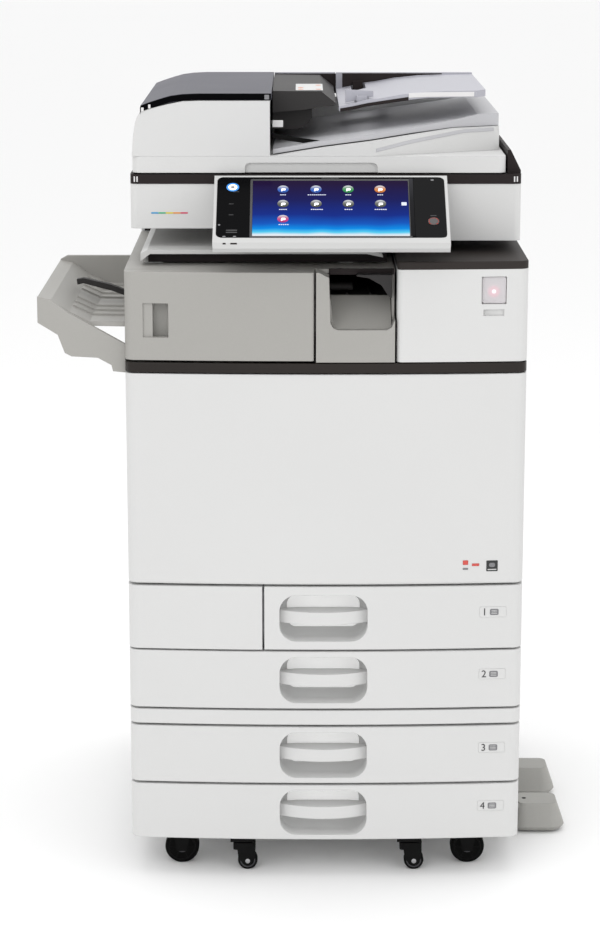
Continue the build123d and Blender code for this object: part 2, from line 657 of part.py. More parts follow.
with BuildPart() as feed_unit:
    depth_prism(
        ((adf_split + 3, 1139), (adf_split + 3, 1171), (-6, 1170), (16, 1152.5), (11, 1149), (-29, 1143)),
        180, box_rear - 4,
    )
    depth_prism(
        ((adf_split + 3, 1112), (adf_split + 3, 1141), (-20, 1141), (-20, 1129), (-30, 1116), (-40, 1112)),
        206, box_rear - 30,
    )
    rod_u(-120, 1118, 14, 185, box_rear - 34)
    rod_u(-176, 1112, 18, 185, box_rear - 34)
    block(-190, adf_split + 4, box_rear - 40, box_rear - 34, 1100, 1140)
feed_unit.part.label = "feed_unit"
export_step(feed_unit.part, "parts/feed_unit.step")

with BuildPart() as feed_cover:
    depth_prism(
        ((adf_left + 13, 1153), (adf_left + 14, 1156.5), (adf_left + 26, 1161), (adf_left + 43, 1166.5),
         (adf_left + 58, 1170.7), (adf_left + 75, 1173), (adf_left + 96, adf_top), (adf_split + 2, adf_top),
         (adf_split + 2, 1164.3), (adf_left + 99, 1164.3), (adf_left + 75, 1163.7), (adf_left + 50, 1158.7),
         (adf_left + 28, 1153.2), (adf_left + 17, 1149.3), (adf_left + 14.2, 1150.2)),
        adf_front, box_rear,
    )
feed_cover.part.label = "feed_cover"
export_step(feed_cover.part, "parts/feed_cover.step")

paper_mid = box_rear - 174.0
sheet_front = box_rear - 345.0
sheet_back = box_rear - 4.0
sheet_left = 20.0
sheet_right = adf_right - 25.0
guide_gap = 145.0
guide_run = 80.0
with BuildPart() as input_tray:
    depth_prism(
        ((sheet_left, 1148), (40, 1151.5), (63, 1157.5), (83, 1160), (113, 1165.5), (152, 1169.5),
         (179, 1170.5), (sheet_right, 1171.5), (sheet_right, 1162), (152, 1160.5), (113, 1156.5),
         (83, 1151.5), (40, 1143.5), (sheet_left + 2, 1140), (sheet_left, 1142)),
        sheet_front, sheet_back,
    )
    depth_prism(
        ((sheet_left, 1147), (83, 1159), (152, 1168), (sheet_right, 1170), (sheet_right, adf_top),
         (sheet_left, adf_top)),
        sheet_back - 8, sheet_back,
    )
    plan_prism(
        ((sheet_right - 14, sheet_front - 1), (sheet_right + 1, sheet_front - 1),
         (sheet_right + 1, sheet_front + 20)),
        1120, 1180, Mode.SUBTRACT,
    )
    for side in (-1, 1):
        slot_mid = paper_mid + side * (guide_gap - guide_run / 2)
        slot_reach = guide_run / 2 + 15
        block(44, 66, slot_mid - slot_reach, slot_mid + slot_reach, 1130, 1171, Mode.SUBTRACT)
input_tray.part.label = "input_tray"
export_step(input_tray.part, "parts/input_tray.step")

with BuildPart() as guide_front:
    fence = paper_mid - guide_gap
    depth_prism(
        ((30, 1151.5), (40, 1153.5), (63, 1159), (72, 1160.5), (72, 1169), (30, 1171)),
        fence - 2, fence + 2,
    )
    block(47, 63, fence - 12, fence + 8, 1148, 1162)
guide_front.part.label = "guide_front"
export_step(guide_front.part, "parts/guide_front.step")

with BuildPart() as guide_rear:
    fence = paper_mid + guide_gap
    depth_prism(
        ((30, 1151.5), (40, 1153.5), (63, 1159), (83, 1161.5), (113, 1167), (152, 1171), (190, 1172.3),
         (190, adf_top), (30, adf_top)),
        fence - 2, fence + 2,
    )
    block(47, 63, fence - 8, fence + 12, 1148, 1162)
guide_rear.part.label = "guide_rear"
export_step(guide_rear.part, "parts/guide_rear.step")

# ---------------------------------------------------------------- operation panel
run_u = panel_high[0] - panel_low[0]
run_z = panel_high[1] - panel_low[1]
slope = (run_u ** 2 + run_z ** 2) ** 0.5
tilt_s = run_z / slope
tilt_c = run_u / slope
panel_plane = Plane(
    origin=place(0, panel_low[0], panel_low[1]), x_dir=(1, 0, 0), z_dir=(0, -tilt_s, tilt_c),
)
panel_mid = (panel_x0 + panel_x1) / 2
panel_w = panel_x1 - panel_x0
glass_edge = 4.5
glass_low = 11.0
glass_h = slope - glass_low - 3.5
glass_mid = glass_low + glass_h / 2

with BuildPart() as panel_housing:
    side_prism(
        (panel_low, panel_high, (84, 1048), (80, 1036), (-28, 960), (-41, 960), (-48, 966)),
        panel_x0, panel_x1,
    )
    with BuildSketch(panel_plane.offset(-60)) as panel_outline:
        with Locations((panel_mid, slope / 2)):
            RectangleRounded(panel_w, slope + 30, 14)
    extrude(panel_outline.sketch, amount=80, mode=Mode.INTERSECT)
    with BuildSketch(panel_plane) as glass_seat:
        with Locations((panel_mid, glass_mid)):
            RectangleRounded(panel_w - 2 * glass_edge, glass_h, 9)
    extrude(glass_seat.sketch, amount=-3, mode=Mode.SUBTRACT)
    with BuildSketch(panel_plane) as key_well:
        with Locations((key_x, key_s)):
            Circle(key_r + 0.5)
    extrude(key_well.sketch, amount=-9, mode=Mode.SUBTRACT)
    for x in (-48, 50):
        side_prism(((70, 1036), (84, 1040), (86, 1018), (83, 1011), (73, 1011), (70, 1018)), x, x + 12)
        rod_x(panel_pin_u, panel_pin_z, panel_pin_r + pin_clearance, x - 1, x + 13, Mode.SUBTRACT)
panel_housing.part.label = "panel_housing"
export_step(panel_housing.part, "parts/panel_housing.step")

with BuildPart() as panel_glass:
    with BuildSketch(panel_plane.offset(-3)) as glass_outline:
        with Locations((panel_mid, glass_mid)):
            RectangleRounded(panel_w - 2 * glass_edge - 0.4, glass_h - 0.4, 8.8)
        with Locations((key_x, key_s)):
            Circle(key_r + 0.5, mode=Mode.SUBTRACT)
    extrude(glass_outline.sketch, amount=3.0)
panel_glass.part.label = "panel_glass"
export_step(panel_glass.part, "parts/panel_glass.step")

with BuildPart() as stop_key:
    with BuildSketch(panel_plane.offset(-5)) as key_outline:
        with Locations((key_x, key_s)):
            Circle(key_r)
    extrude(key_outline.sketch, amount=6.0)
stop_key.part.label = "stop_key"
export_step(stop_key.part, "parts/stop_key.step")

# ---------------------------------------------------------------- feet and casters
foot_out = half + foot_reach
foot_skirt = 10.0
foot_top = 46.0
foot_arm = 57.5
with BuildPart() as stabiliser_feet:
    for u0, u1 in ((172.0, 247.0), (340.0, 415.0)):
        skirt_w = foot_out - (half + 4)
        skirt_mid = (foot_out + half + 4) / 2
        foot_mid = (u0 + u1) / 2
        with BuildSketch(Plane(origin=place(skirt_mid, foot_mid, floor_z + foot_skirt))) as skirt:
            RectangleRounded(skirt_w, u1 - u0, 24.0)
        extrude(skirt.sketch, amount=foot_top - foot_skirt, taper=19)
        extrude(skirt.sketch, amount=3 - foot_skirt, taper=40)
        post(foot_out - 40, foot_mid, 20, floor_z, floor_z + 12)
        block(half - foot_arm, half + 30, foot_mid - 22, foot_mid + 22, floor_z + 34, floor_z + 44)
        block(half - foot_arm, half - 2, foot_mid - 22, foot_mid + 22, floor_z + 44, base_z)
stabiliser_feet.part.label = "stabiliser_feet"
export_step(stabiliser_feet.part, "parts/stabiliser_feet.step")

with BuildPart() as caster_brackets:
    for side in (-1, 1):
        for u in big_us:
            block(side * big_x - 18, side * big_x + 18, u - 16, u + 16, base_z - 4, base_z)
            for cheek in (-13.5, 11.5):
                depth_prism(
                    ((side * big_x - 14, base_z - 3), (side * big_x + 14, base_z - 3),
                     (side * big_x + 8, floor_z + big_r - 6), (side * big_x - 8, floor_z + big_r - 6)),
                    u + cheek, u + cheek + 2,
                )
            rod_u(side * big_x, floor_z + big_r, axle_r, u - 12, u + 12)
        block(side * small_x - 17, side * small_x + 17, small_u - 17, small_u + 20, base_z - 10, base_z - 0.5)
        block(side * small_x - 17, side * small_x + 17, shell_front + 2, small_u + 20, base_z - 8, base_z)
        post(side * small_x, small_u, stem_r + pin_clearance, base_z - 11, base_z + 1, Mode.SUBTRACT)
caster_brackets.part.label = "caster_brackets"
export_step(caster_brackets.part, "parts/caster_brackets.step")

axle_z = floor_z + small_r
hood_top = base_z - 14.0
for tag, side in (("left", -1), ("right", 1)):
    with BuildPart() as caster_fork:
        wheel_x = side * small_x + trail
        block(side * small_x - 13, wheel_x + 12, small_u - 11, small_u + 11, axle_z + small_r + 3, hood_top)
        fillet(caster_fork.edges().filter_by(Axis.Z), radius=5.0)
        post(side * small_x, small_u, stem_r, hood_top - 6, base_z - 1)
        for cheek in (-11, 8.5):
            depth_prism(
                ((wheel_x - 16, axle_z + small_r + 4), (wheel_x - 14, axle_z + 4), (wheel_x - 5, axle_z - 6),
                 (wheel_x + 5, axle_z - 6), (wheel_x + 11, axle_z + 4), (wheel_x + 12, axle_z + small_r + 4)),
                small_u + cheek, small_u + cheek + 2.5,
            )
        rod_u(wheel_x, axle_z, small_axle_r, small_u - 9, small_u + 9)
    caster_fork.part.label = "caster_fork_" + tag
    export_step(caster_fork.part, "parts/caster_fork_%s.step" % tag)

    with BuildPart() as small_wheel:
        rod_u(wheel_x, axle_z, small_r, small_u - small_w / 2, small_u + small_w / 2)
        fillet(small_wheel.edges().filter_by(GeomType.CIRCLE), radius=2.0)
        rod_u(wheel_x, axle_z, small_axle_r + pin_clearance, small_u - 12, small_u + 12, Mode.SUBTRACT)
    small_wheel.part.label = "small_wheel_" + tag
    export_step(small_wheel.part, "parts/small_wheel_%s.step" % tag)

    for where, u in (("front", big_us[0]), ("rear", big_us[1])):
        with BuildPart() as large_wheel:
            rod_u(side * big_x, floor_z + big_r, big_r, u - big_w / 2, u + big_w / 2)
            fillet(large_wheel.edges().filter_by(GeomType.CIRCLE), radius=3.0)
            rod_u(side * big_x, floor_z + big_r, axle_r + pin_clearance, u - 15, u + 15, Mode.SUBTRACT)
        large_wheel.part.label = "large_wheel_%s_%s" % (where, tag)
        export_step(large_wheel.part, "parts/large_wheel_%s_%s.step" % (where, tag))
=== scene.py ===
import bpy, bmesh, math
from mathutils import Vector, Matrix, Euler


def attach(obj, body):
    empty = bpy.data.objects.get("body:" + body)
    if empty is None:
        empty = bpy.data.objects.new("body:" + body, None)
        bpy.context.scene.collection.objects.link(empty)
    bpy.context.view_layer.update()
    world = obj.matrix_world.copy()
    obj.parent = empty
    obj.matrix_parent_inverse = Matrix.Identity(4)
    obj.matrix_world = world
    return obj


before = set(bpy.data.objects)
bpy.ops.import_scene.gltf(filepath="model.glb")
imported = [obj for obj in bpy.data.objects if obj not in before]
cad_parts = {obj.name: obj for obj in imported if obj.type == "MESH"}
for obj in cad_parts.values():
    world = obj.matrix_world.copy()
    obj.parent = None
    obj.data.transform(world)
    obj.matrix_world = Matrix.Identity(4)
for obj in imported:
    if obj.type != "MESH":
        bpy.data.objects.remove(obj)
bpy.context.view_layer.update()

# the cabinet centre line and front plane in the shared frame, in metres
CX, FY = 0.019, -0.312
HALF, CORNER, CROWN = 0.2935, 0.016, 0.011


def P(x, u, z):
    """millimetres from the centre line, front plane and floor, to metres in the frame"""
    return Vector((CX + x / 1000, FY + u / 1000, z / 1000))


def face_u(x):
    return -11.0 * (1 - (x / 277.5) ** 2)


# ------------------------------------------------------------------ materials
def new_mat(name):
    m = bpy.data.materials.new(name)
    m.use_nodes = True
    t = m.node_tree
    return m, t, t.nodes["Principled BSDF"]


def link(t, a, b):
    t.links.new(a, b)


def plastic(name, color, rough=0.42, speck=0.02, grain=1400.0, bump=0.05, edge=0.0012, spec=0.5, mottle=0.03,
            coat=0.0, rough_var=0.06):
    m, t, b = new_mat(name)
    n = t.nodes
    tc = n.new("ShaderNodeTexCoord")
    big = n.new("ShaderNodeTexNoise")
    big.inputs["Scale"].default_value = 4.0
    big.inputs["Detail"].default_value = 4.0
    fine = n.new("ShaderNodeTexNoise")
    fine.inputs["Scale"].default_value = grain
    fine.inputs["Detail"].default_value = 2.0
    link(t, tc.outputs["Object"], big.inputs["Vector"])
    link(t, tc.outputs["Object"], fine.inputs["Vector"])
    ramp = n.new("ShaderNodeValToRGB")
    lo = [max(0.0, c * (1 - mottle)) for c in color[:3]] + [1]
    hi = [min(1.0, c * (1 + mottle * 0.6)) for c in color[:3]] + [1]
    ramp.color_ramp.elements[0].position = 0.3
    ramp.color_ramp.elements[1].position = 0.7
    ramp.color_ramp.elements[0].color = lo
    ramp.color_ramp.elements[1].color = hi
    link(t, big.outputs["Fac"], ramp.inputs["Fac"])
    mix = n.new("ShaderNodeMix")
    mix.data_type = "RGBA"
    mix.blend_type = "MULTIPLY"
    spk = n.new("ShaderNodeValToRGB")
    spk.color_ramp.elements[0].color = [1 - speck * 2] * 3 + [1]
    spk.color_ramp.elements[1].color = [1, 1, 1, 1]
    spk.color_ramp.elements[0].position = 0.35
    spk.color_ramp.elements[1].position = 0.6
    link(t, fine.outputs["Fac"], spk.inputs["Fac"])
    mix.inputs["Factor"].default_value = 1.0
    link(t, ramp.outputs["Color"], mix.inputs["A"])
    link(t, spk.outputs["Color"], mix.inputs["B"])
    link(t, mix.outputs["Result"], b.inputs["Base Color"])
    rr = n.new("ShaderNodeMapRange")
    rr.inputs["To Min"].default_value = max(0.03, rough - rough_var)
    rr.inputs["To Max"].default_value = rough + rough_var
    link(t, big.outputs["Fac"], rr.inputs["Value"])
    link(t, rr.outputs["Result"], b.inputs["Roughness"])
    bev = n.new("ShaderNodeBevel")
    bev.samples = 4
    bev.inputs["Radius"].default_value = edge
    bp = n.new("ShaderNodeBump")
    bp.inputs["Strength"].default_value = bump
    bp.inputs["Distance"].default_value = 0.0004
    link(t, fine.outputs["Fac"], bp.inputs["Height"])
    link(t, bev.outputs["Normal"], bp.inputs["Normal"])
    link(t, bp.outputs["Normal"], b.inputs["Normal"])
    b.inputs["Specular IOR Level"].default_value = spec
    b.inputs["Coat Weight"].default_value = coat
    b.inputs["Coat Roughness"].default_value = 0.08
    return m


def emissive(name, color, strength):
    m, t, b = new_mat(name)
    n = t.nodes
    tc = n.new("ShaderNodeTexCoord")
    grid = n.new("ShaderNodeTexNoise")
    grid.inputs["Scale"].default_value = 900.0
    ramp = n.new("ShaderNodeValToRGB")
    ramp.color_ramp.elements[0].color = [c * 0.93 for c in color] + [1]
    ramp.color_ramp.elements[1].color = [min(1, c * 1.05) for c in color] + [1]
    link(t, tc.outputs["Object"], grid.inputs["Vector"])
    link(t, grid.outputs["Fac"], ramp.inputs["Fac"])
    link(t, ramp.outputs["Color"], b.inputs["Emission Color"])
    link(t, ramp.outputs["Color"], b.inputs["Base Color"])
    b.inputs["Emission Strength"].default_value = strength
    b.inputs["Roughness"].default_value = 0.25
    return m


WHITE = plastic("moulded_white", (0.62, 0.62, 0.615), rough=0.42, speck=0.012, mottle=0.012, bump=0.06,
    spec=0.4)
PANELWHITE = plastic("panel_white", (0.52, 0.52, 0.515), rough=0.42, speck=0.012, mottle=0.012, bump=0.06,
    spec=0.35)
GREY = plastic("moulded_grey", (0.36, 0.352, 0.332), rough=0.45, speck=0.03, mottle=0.02, bump=0.08,
    spec=0.35)
LIGHT = plastic("light_grey_moulding", (0.56, 0.56, 0.55), rough=0.38, speck=0.02)
TRIM = plastic("gloss_trim", (0.018, 0.014, 0.012), rough=0.22, speck=0.0, mottle=0.15, bump=0.01,
    spec=0.25, rough_var=0.04)
TAUPE = plastic("taupe_cap", (0.034, 0.029, 0.027), rough=0.5, speck=0.05, bump=0.10, spec=0.12)
DARK = plastic("dark_moulding", (0.022, 0.017, 0.017), rough=0.5, speck=0.08, bump=0.12, spec=0.12)
CHARCOAL = plastic("charcoal_guide", (0.038, 0.036, 0.036), rough=0.48, speck=0.06, bump=0.12, spec=0.15)
LID = plastic("feeder_lid", (0.098, 0.098, 0.118), rough=0.45, speck=0.04, bump=0.10, mottle=0.03, spec=0.12)
TRAY = plastic("feeder_tray", (0.42, 0.42, 0.465), rough=0.40, speck=0.03, bump=0.08, spec=0.3)
DELIVERY = plastic("feeder_delivery", (0.50, 0.50, 0.52), rough=0.42, speck=0.03, bump=0.08, spec=0.25)
FOOT = plastic("foot_grey", (0.36, 0.355, 0.335), rough=0.5, speck=0.04, bump=0.15, mottle=0.05, spec=0.3)
BLACK = plastic("caster_black", (0.004, 0.004, 0.004), rough=0.45, speck=0.05, bump=0.10, spec=0.08)
RUBBER = plastic("rubber_black", (0.003, 0.003, 0.003), rough=0.62, speck=0.1, grain=700.0, bump=0.25,
    mottle=0.12, spec=0.06)
SHEET = plastic("pressure_sheet", (0.86, 0.86, 0.85), rough=0.55, speck=0.01, bump=0.03)
KEY = plastic("key_grey", (0.05, 0.045, 0.045), rough=0.3, bump=0.02)
GLOSSBLACK = plastic("panel_black", (0.002, 0.002, 0.0025), rough=0.16, speck=0.0, mottle=0.1, bump=0.0,
                     spec=0.02, rough_var=0.03)
# painted light: a glowing liner that lifts the shade inside the handle recesses
PAINTED_LIGHT_LINER = emissive("recess_painted_light_liner", (0.85, 0.85, 0.845), 0.36)
SWITCH = plastic("switch_white", (0.72, 0.71, 0.71), rough=0.3)
TONER = plastic("toner_body", (0.66, 0.66, 0.65), rough=0.4)
DRUM = plastic("drum_case", (0.05, 0.05, 0.055), rough=0.42)
PALE = plastic("label_plate", (0.62, 0.62, 0.615), rough=0.5, speck=0.01, bump=0.02)
INK = plastic("label_ink", (0.035, 0.035, 0.037), rough=0.55, speck=0.05, bump=0.0)


def steel(name, color, rough):
    m, t, b = new_mat(name)
    n = t.nodes
    tc = n.new("ShaderNodeTexCoord")
    vor = n.new("ShaderNodeTexVoronoi")
    vor.inputs["Scale"].default_value = 90.0
    noi = n.new("ShaderNodeTexNoise")
    noi.inputs["Scale"].default_value = 14.0
    link(t, tc.outputs["Object"], vor.inputs["Vector"])
    link(t, tc.outputs["Object"], noi.inputs["Vector"])
    ramp = n.new("ShaderNodeValToRGB")
    ramp.color_ramp.elements[0].color = [c * 0.8 for c in color] + [1]
    ramp.color_ramp.elements[1].color = list(color) + [1]
    link(t, vor.outputs["Distance"], ramp.inputs["Fac"])
    link(t, ramp.outputs["Color"], b.inputs["Base Color"])
    rr = n.new("ShaderNodeMapRange")
    rr.inputs["To Min"].default_value = rough - 0.08
    rr.inputs["To Max"].default_value = rough + 0.1
    link(t, noi.outputs["Fac"], rr.inputs["Value"])
    link(t, rr.outputs["Result"], b.inputs["Roughness"])
    b.inputs["Metallic"].default_value = 0.85
    return m


STEEL = steel("galvanised_sheet", (0.55, 0.56, 0.57), 0.38)


def glass_mat(name, color, rough, alpha):
    m, t, b = new_mat(name)
    n = t.nodes
    tc = n.new("ShaderNodeTexCoord")
    noi = n.new("ShaderNodeTexNoise")
    noi.inputs["Scale"].default_value = 260.0
    ramp = n.new("ShaderNodeValToRGB")
    ramp.color_ramp.elements[0].color = [c * 0.96 for c in color] + [1]
    ramp.color_ramp.elements[1].color = list(color) + [1]
    link(t, tc.outputs["Object"], noi.inputs["Vector"])
    link(t, noi.outputs["Fac"], ramp.inputs["Fac"])
    link(t, ramp.outputs["Color"], b.inputs["Base Color"])
    bp = n.new("ShaderNodeBump")
    bp.inputs["Strength"].default_value = 0.03
    link(t, noi.outputs["Fac"], bp.inputs["Height"])
    link(t, bp.outputs["Normal"], b.inputs["Normal"])
    b.inputs["Roughness"].default_value = rough
    b.inputs["Alpha"].default_value = alpha
    return m


GLASS = glass_mat("platen_glass", (0.45, 0.55, 0.55), 0.04, 0.35)
WINDOW = glass_mat("window_clear", (0.80, 0.77, 0.79), 0.22, 0.55)

node_mats = {
    "bank_cabinet": WHITE, "main_frame": STEEL, "left_cover": WHITE, "right_cover": WHITE,
    "rear_cover": WHITE,
    "joint_strip": WHITE, "lower_left_panel": WHITE, "waist_trim": TRIM, "finisher_housing": GREY,
    "finisher_exit_cover": GREY, "inner_tray": LIGHT, "paper_exit_guide": CHARCOAL, "output_tray": GREY,
    "tower_cover": WHITE, "tower_cap": TAUPE, "stabiliser_feet": FOOT, "caster_brackets": BLACK,
    "scanner_housing": WHITE, "platen_frame": DARK, "platen_glass": GLASS, "toner_bottles": TONER,
    "drum_units": DRUM, "fuser_unit": STEEL, "power_inlet": DARK, "adf_base": WHITE, "adf_housing": WHITE,
    "adf_exit_tray": DELIVERY, "pressure_plate": SHEET, "feed_unit": CHARCOAL, "feed_cover": LID,
    "input_tray": TRAY,
    "guide_front": TRAY, "guide_rear": DARK, "panel_housing": PANELWHITE, "panel_glass": GLOSSBLACK,
    "stop_key": KEY,
    "front_door": WHITE, "finisher_door": GREY, "power_cover": WINDOW, "power_switch": SWITCH,
    "right_door": WHITE, "bypass_tray": WHITE, "scan_carriage": DARK, "feeler_arm": CHARCOAL,
    "caster_fork_left": BLACK, "caster_fork_right": BLACK, "small_wheel_left": RUBBER,
    "small_wheel_right": RUBBER,
    "large_wheel_front_left": RUBBER, "large_wheel_front_right": RUBBER, "large_wheel_rear_left": RUBBER,
    "large_wheel_rear_right": RUBBER,
}
for i in (1, 2, 3, 4):
    node_mats["tray_front_%d" % i] = WHITE
    node_mats["tray_box_%d" % i] = LIGHT
for name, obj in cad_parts.items():
    obj.data.materials.clear()
    obj.data.materials.append(node_mats[name])


# ------------------------------------------------------------------ mesh helpers
def obj_from(bm, name, mat, body, bevel=0.0, smooth=True, matrix=None):
    me = bpy.data.meshes.new(name)
    bm.normal_update()
    bm.to_mesh(me)
    bm.free()
    o = bpy.data.objects.new(name, me)
    bpy.context.scene.collection.objects.link(o)
    me.materials.append(mat)
    if smooth:
        for p in me.polygons:
            p.use_smooth = True
        me.set_sharp_from_angle(angle=math.radians(35))
    if matrix is not None:
        o.matrix_world = matrix
    if bevel:
        mod = o.modifiers.new("soft", "BEVEL")
        mod.width = bevel
        mod.segments = 3
        mod.limit_method = "ANGLE"
        mod.harden_normals = False
    bpy.context.view_layer.update()
    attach(o, body)
    return o


def rounded_rect(w, h, r, n=6):
    pts = []
    for cx, cy, a0 in ((w / 2 - r, h / 2 - r, 0), (-w / 2 + r, h / 2 - r, 90), (-w / 2 + r, -h / 2 + r, 180),
                       (w / 2 - r, -h / 2 + r, 270)):
        for k in range(n + 1):
            a = math.radians(a0 + 90 * k / n)
            pts.append((cx + r * math.cos(a), cy + r * math.sin(a)))
    return pts


def plate_bm(points, thick):
    """closed outline in local XY (metres), front at +thick, back at 0"""
    bm = bmesh.new()
    low = [bm.verts.new((x, y, 0)) for x, y in points]
    top = [bm.verts.new((x, y, thick)) for x, y in points]
    bm.faces.new(list(reversed(low)))
    bm.faces.new(top)
    k = len(points)
    for i in range(k):
        bm.faces.new((low[i], low[(i + 1) % k], top[(i + 1) % k], top[i]))
    bmesh.ops.recalc_face_normals(bm, faces=bm.faces)
    return bm


def front_matrix(x, z, proud=0.0):
    """local x across, y up, z out of the bowed front face at cabinet position x, z (mm)"""
    slope = 22.0 * x / (277.5 ** 2)
    n = Vector((slope, -1, 0)).normalized()
    right = Vector((1, slope, 0)).normalized()
    up = Vector((0, 0, 1))
    m = Matrix((right, up, n)).transposed().to_4x4()
    m.translation = P(x, face_u(x), z) + n * proud
    return m


LOW_U, LOW_Z, HIGH_U, HIGH_Z = -45.0, 974.0, 78.0, 1056.0
SLOPE = math.hypot(HIGH_U - LOW_U, HIGH_Z - LOW_Z)


def panel_matrix(x, s, proud=0.0):
    """local x across, y up the panel, z out of it; s is mm up from its front edge"""
    along = Vector((0, HIGH_U - LOW_U, HIGH_Z - LOW_Z)) / SLOPE
    n = Vector((0, -(HIGH_Z - LOW_Z), HIGH_U - LOW_U)) / SLOPE
    m = Matrix((Vector((1, 0, 0)), along, n)).transposed().to_4x4()
    m.translation = P(x, LOW_U, LOW_Z) + along * (s / 1000) + n * proud
    return m


def plate(name, w, h, r, thick, matrix, mat, body, bevel=0.0):
    return obj_from(plate_bm(rounded_rect(w / 1000, h / 1000, r / 1000), thick / 1000), name, mat, body,
                    bevel / 1000, True, matrix)


def prism_u(name, pts, u0, u1, mat, body, bevel=0.0):
    """outline in X-Z mm, run along the depth"""
    bm = bmesh.new()
    a = [bm.verts.new(P(x, u0, z)) for x, z in pts]
    b = [bm.verts.new(P(x, u1, z)) for x, z in pts]
    bm.faces.new(a)
    bm.faces.new(list(reversed(b)))
    k = len(pts)
    for i in range(k):
        bm.faces.new((a[i], b[i], b[(i + 1) % k], a[(i + 1) % k]))
    bmesh.ops.recalc_face_normals(bm, faces=bm.faces)
    return obj_from(bm, name, mat, body, bevel / 1000)


def text_mesh(name, body_text, size, matrix, mat, body, thick=0.3):
    c = bpy.data.curves.new(name, "FONT")
    c.body = body_text
    c.size = size / 1000
    c.extrude = thick / 2000
    c.align_x = "CENTER"
    c.align_y = "CENTER"
    c.resolution_u = 6
    tmp = bpy.data.objects.new(name + "_tmp", c)
    bpy.context.scene.collection.objects.link(tmp)
    bpy.context.view_layer.update()
    me = bpy.data.meshes.new_from_object(tmp.evaluated_get(bpy.context.evaluated_depsgraph_get()))
    bpy.data.objects.remove(tmp)
    bm = bmesh.new()
    bm.from_mesh(me)
    return obj_from(bm, name, mat, body, 0, False, matrix)


# ------------------------------------------------------------------ camera and light
cam_data = bpy.data.cameras.new("view")
LENS, SENSOR = 99.2906, 36.0      # millimetres
PITCH_DOWN = 12.867
cam_data.lens = LENS
cam_data.sensor_width = SENSOR
cam = bpy.data.objects.new("view", cam_data)
bpy.context.scene.collection.objects.link(cam)
cam.location = P(-37.99, -3707.6, 1480.46)
cam.rotation_euler = Euler((math.radians(90 - PITCH_DOWN), 0, 0))
cam_data.clip_end = 400.0
bpy.context.scene.camera = cam


def area(name, loc, target, size, power, color=(1, 1, 1)):
    d = bpy.data.lights.new(name, "AREA")
    d.shape = "RECTANGLE"
    d.size, d.size_y = size
    d.energy = power
    d.color = color
    o = bpy.data.objects.new(name, d)
    bpy.context.scene.collection.objects.link(o)
    o.location = loc
    o.rotation_euler = (Vector(target) - Vector(loc)).to_track_quat("-Z", "Y").to_euler()
    return o


MACHINE_MIDDLE = (0, 0, 0.6)
SOFTBOX, OVERHEAD = (2.6, 2.6), (3.0, 3.0)
area("key", (-1.6, -3.6, 3.0), MACHINE_MIDDLE, SOFTBOX, 34)
area("fill", (2.8, -3.0, 1.8), MACHINE_MIDDLE, SOFTBOX, 12)
area("top", (0, 0.2, 3.6), (0, 0, 0.5), OVERHEAD, 26)
world = bpy.data.worlds.new("studio")
bpy.context.scene.world = world
world.use_nodes = True
world.node_tree.nodes["Background"].inputs["Color"].default_value = (1, 1, 1, 1)
world.node_tree.nodes["Background"].inputs["Strength"].default_value = 1.0
bpy.context.scene.view_settings.view_transform = "Standard"

FLOOR_HALF = 150
bm = bmesh.new()
bmesh.ops.create_grid(bm, x_segments=2, y_segments=2, size=FLOOR_HALF)
floor_me = bpy.data.meshes.new("floor")
bm.to_mesh(floor_me)
bm.free()
floor = bpy.data.objects.new("floor", floor_me)
bpy.context.scene.collection.objects.link(floor)
floor.location = (0, 4, 0)
fm, ft, fb = new_mat("floor_pale")
fn = ft.nodes.new("ShaderNodeTexNoise")
fn.inputs["Scale"].default_value = 1.5
fr = ft.nodes.new("ShaderNodeValToRGB")
fr.color_ramp.elements[0].color = (0.93, 0.93, 0.93, 1)
fr.color_ramp.elements[1].color = (0.96, 0.96, 0.96, 1)
ft.links.new(fn.outputs["Fac"], fr.inputs["Fac"])
ft.links.new(fr.outputs["Color"], fb.inputs["Base Color"])
fb.inputs["Roughness"].default_value = 0.7
floor_me.materials.append(fm)

# ------------------------------------------------------------------ more mesh helpers
def ring(name, outer, inner, thick, matrix, mat, body, bevel=0.0):
    """a flat frame between two outlines (mm) with the same number of points"""
    bm = bmesh.new()
    rows = [[bm.verts.new((x / 1000, y / 1000, z / 1000)) for x, y in pts]
            for pts, z in ((outer, 0), (outer, thick), (inner, thick), (inner, 0))]
    k = len(outer)
    for r in range(4):
        a, b = rows[r], rows[(r + 1) % 4]
        for i in range(k):
            bm.faces.new((a[i], a[(i + 1) % k], b[(i + 1) % k], b[i]))
    bmesh.ops.recalc_face_normals(bm, faces=bm.faces)
    return obj_from(bm, name, mat, body, bevel / 1000, True, matrix)


def circle(r, n=40):
    return [(r * math.cos(2 * math.pi * k / n), r * math.sin(2 * math.pi * k / n)) for k in range(n)]


def disc(name, r, thick, matrix, mat, body, bevel=0.0, n=40):
    pts = [(x / 1000, y / 1000) for x, y in circle(r, n)]
    return obj_from(plate_bm(pts, thick / 1000), name, mat, body, bevel / 1000, True, matrix)


def lathe(name, profile, matrix, mat, body, n=56):
    """profile of (radius, height) mm pairs, closed round, turned about local Z"""
    bm = bmesh.new()
    rows = [[bm.verts.new((r * math.cos(2 * math.pi * k / n) / 1000, r * math.sin(2 * math.pi * k / n) / 1000,
                           z / 1000)) for k in range(n)] for r, z in profile]
    m = len(profile)
    for i in range(m):
        a, b = rows[i], rows[(i + 1) % m]
        for k in range(n):
            bm.faces.new((a[k], a[(k + 1) % n], b[(k + 1) % n], b[k]))
    bmesh.ops.recalc_face_normals(bm, faces=bm.faces)
    return obj_from(bm, name, mat, body, 0, True, matrix)


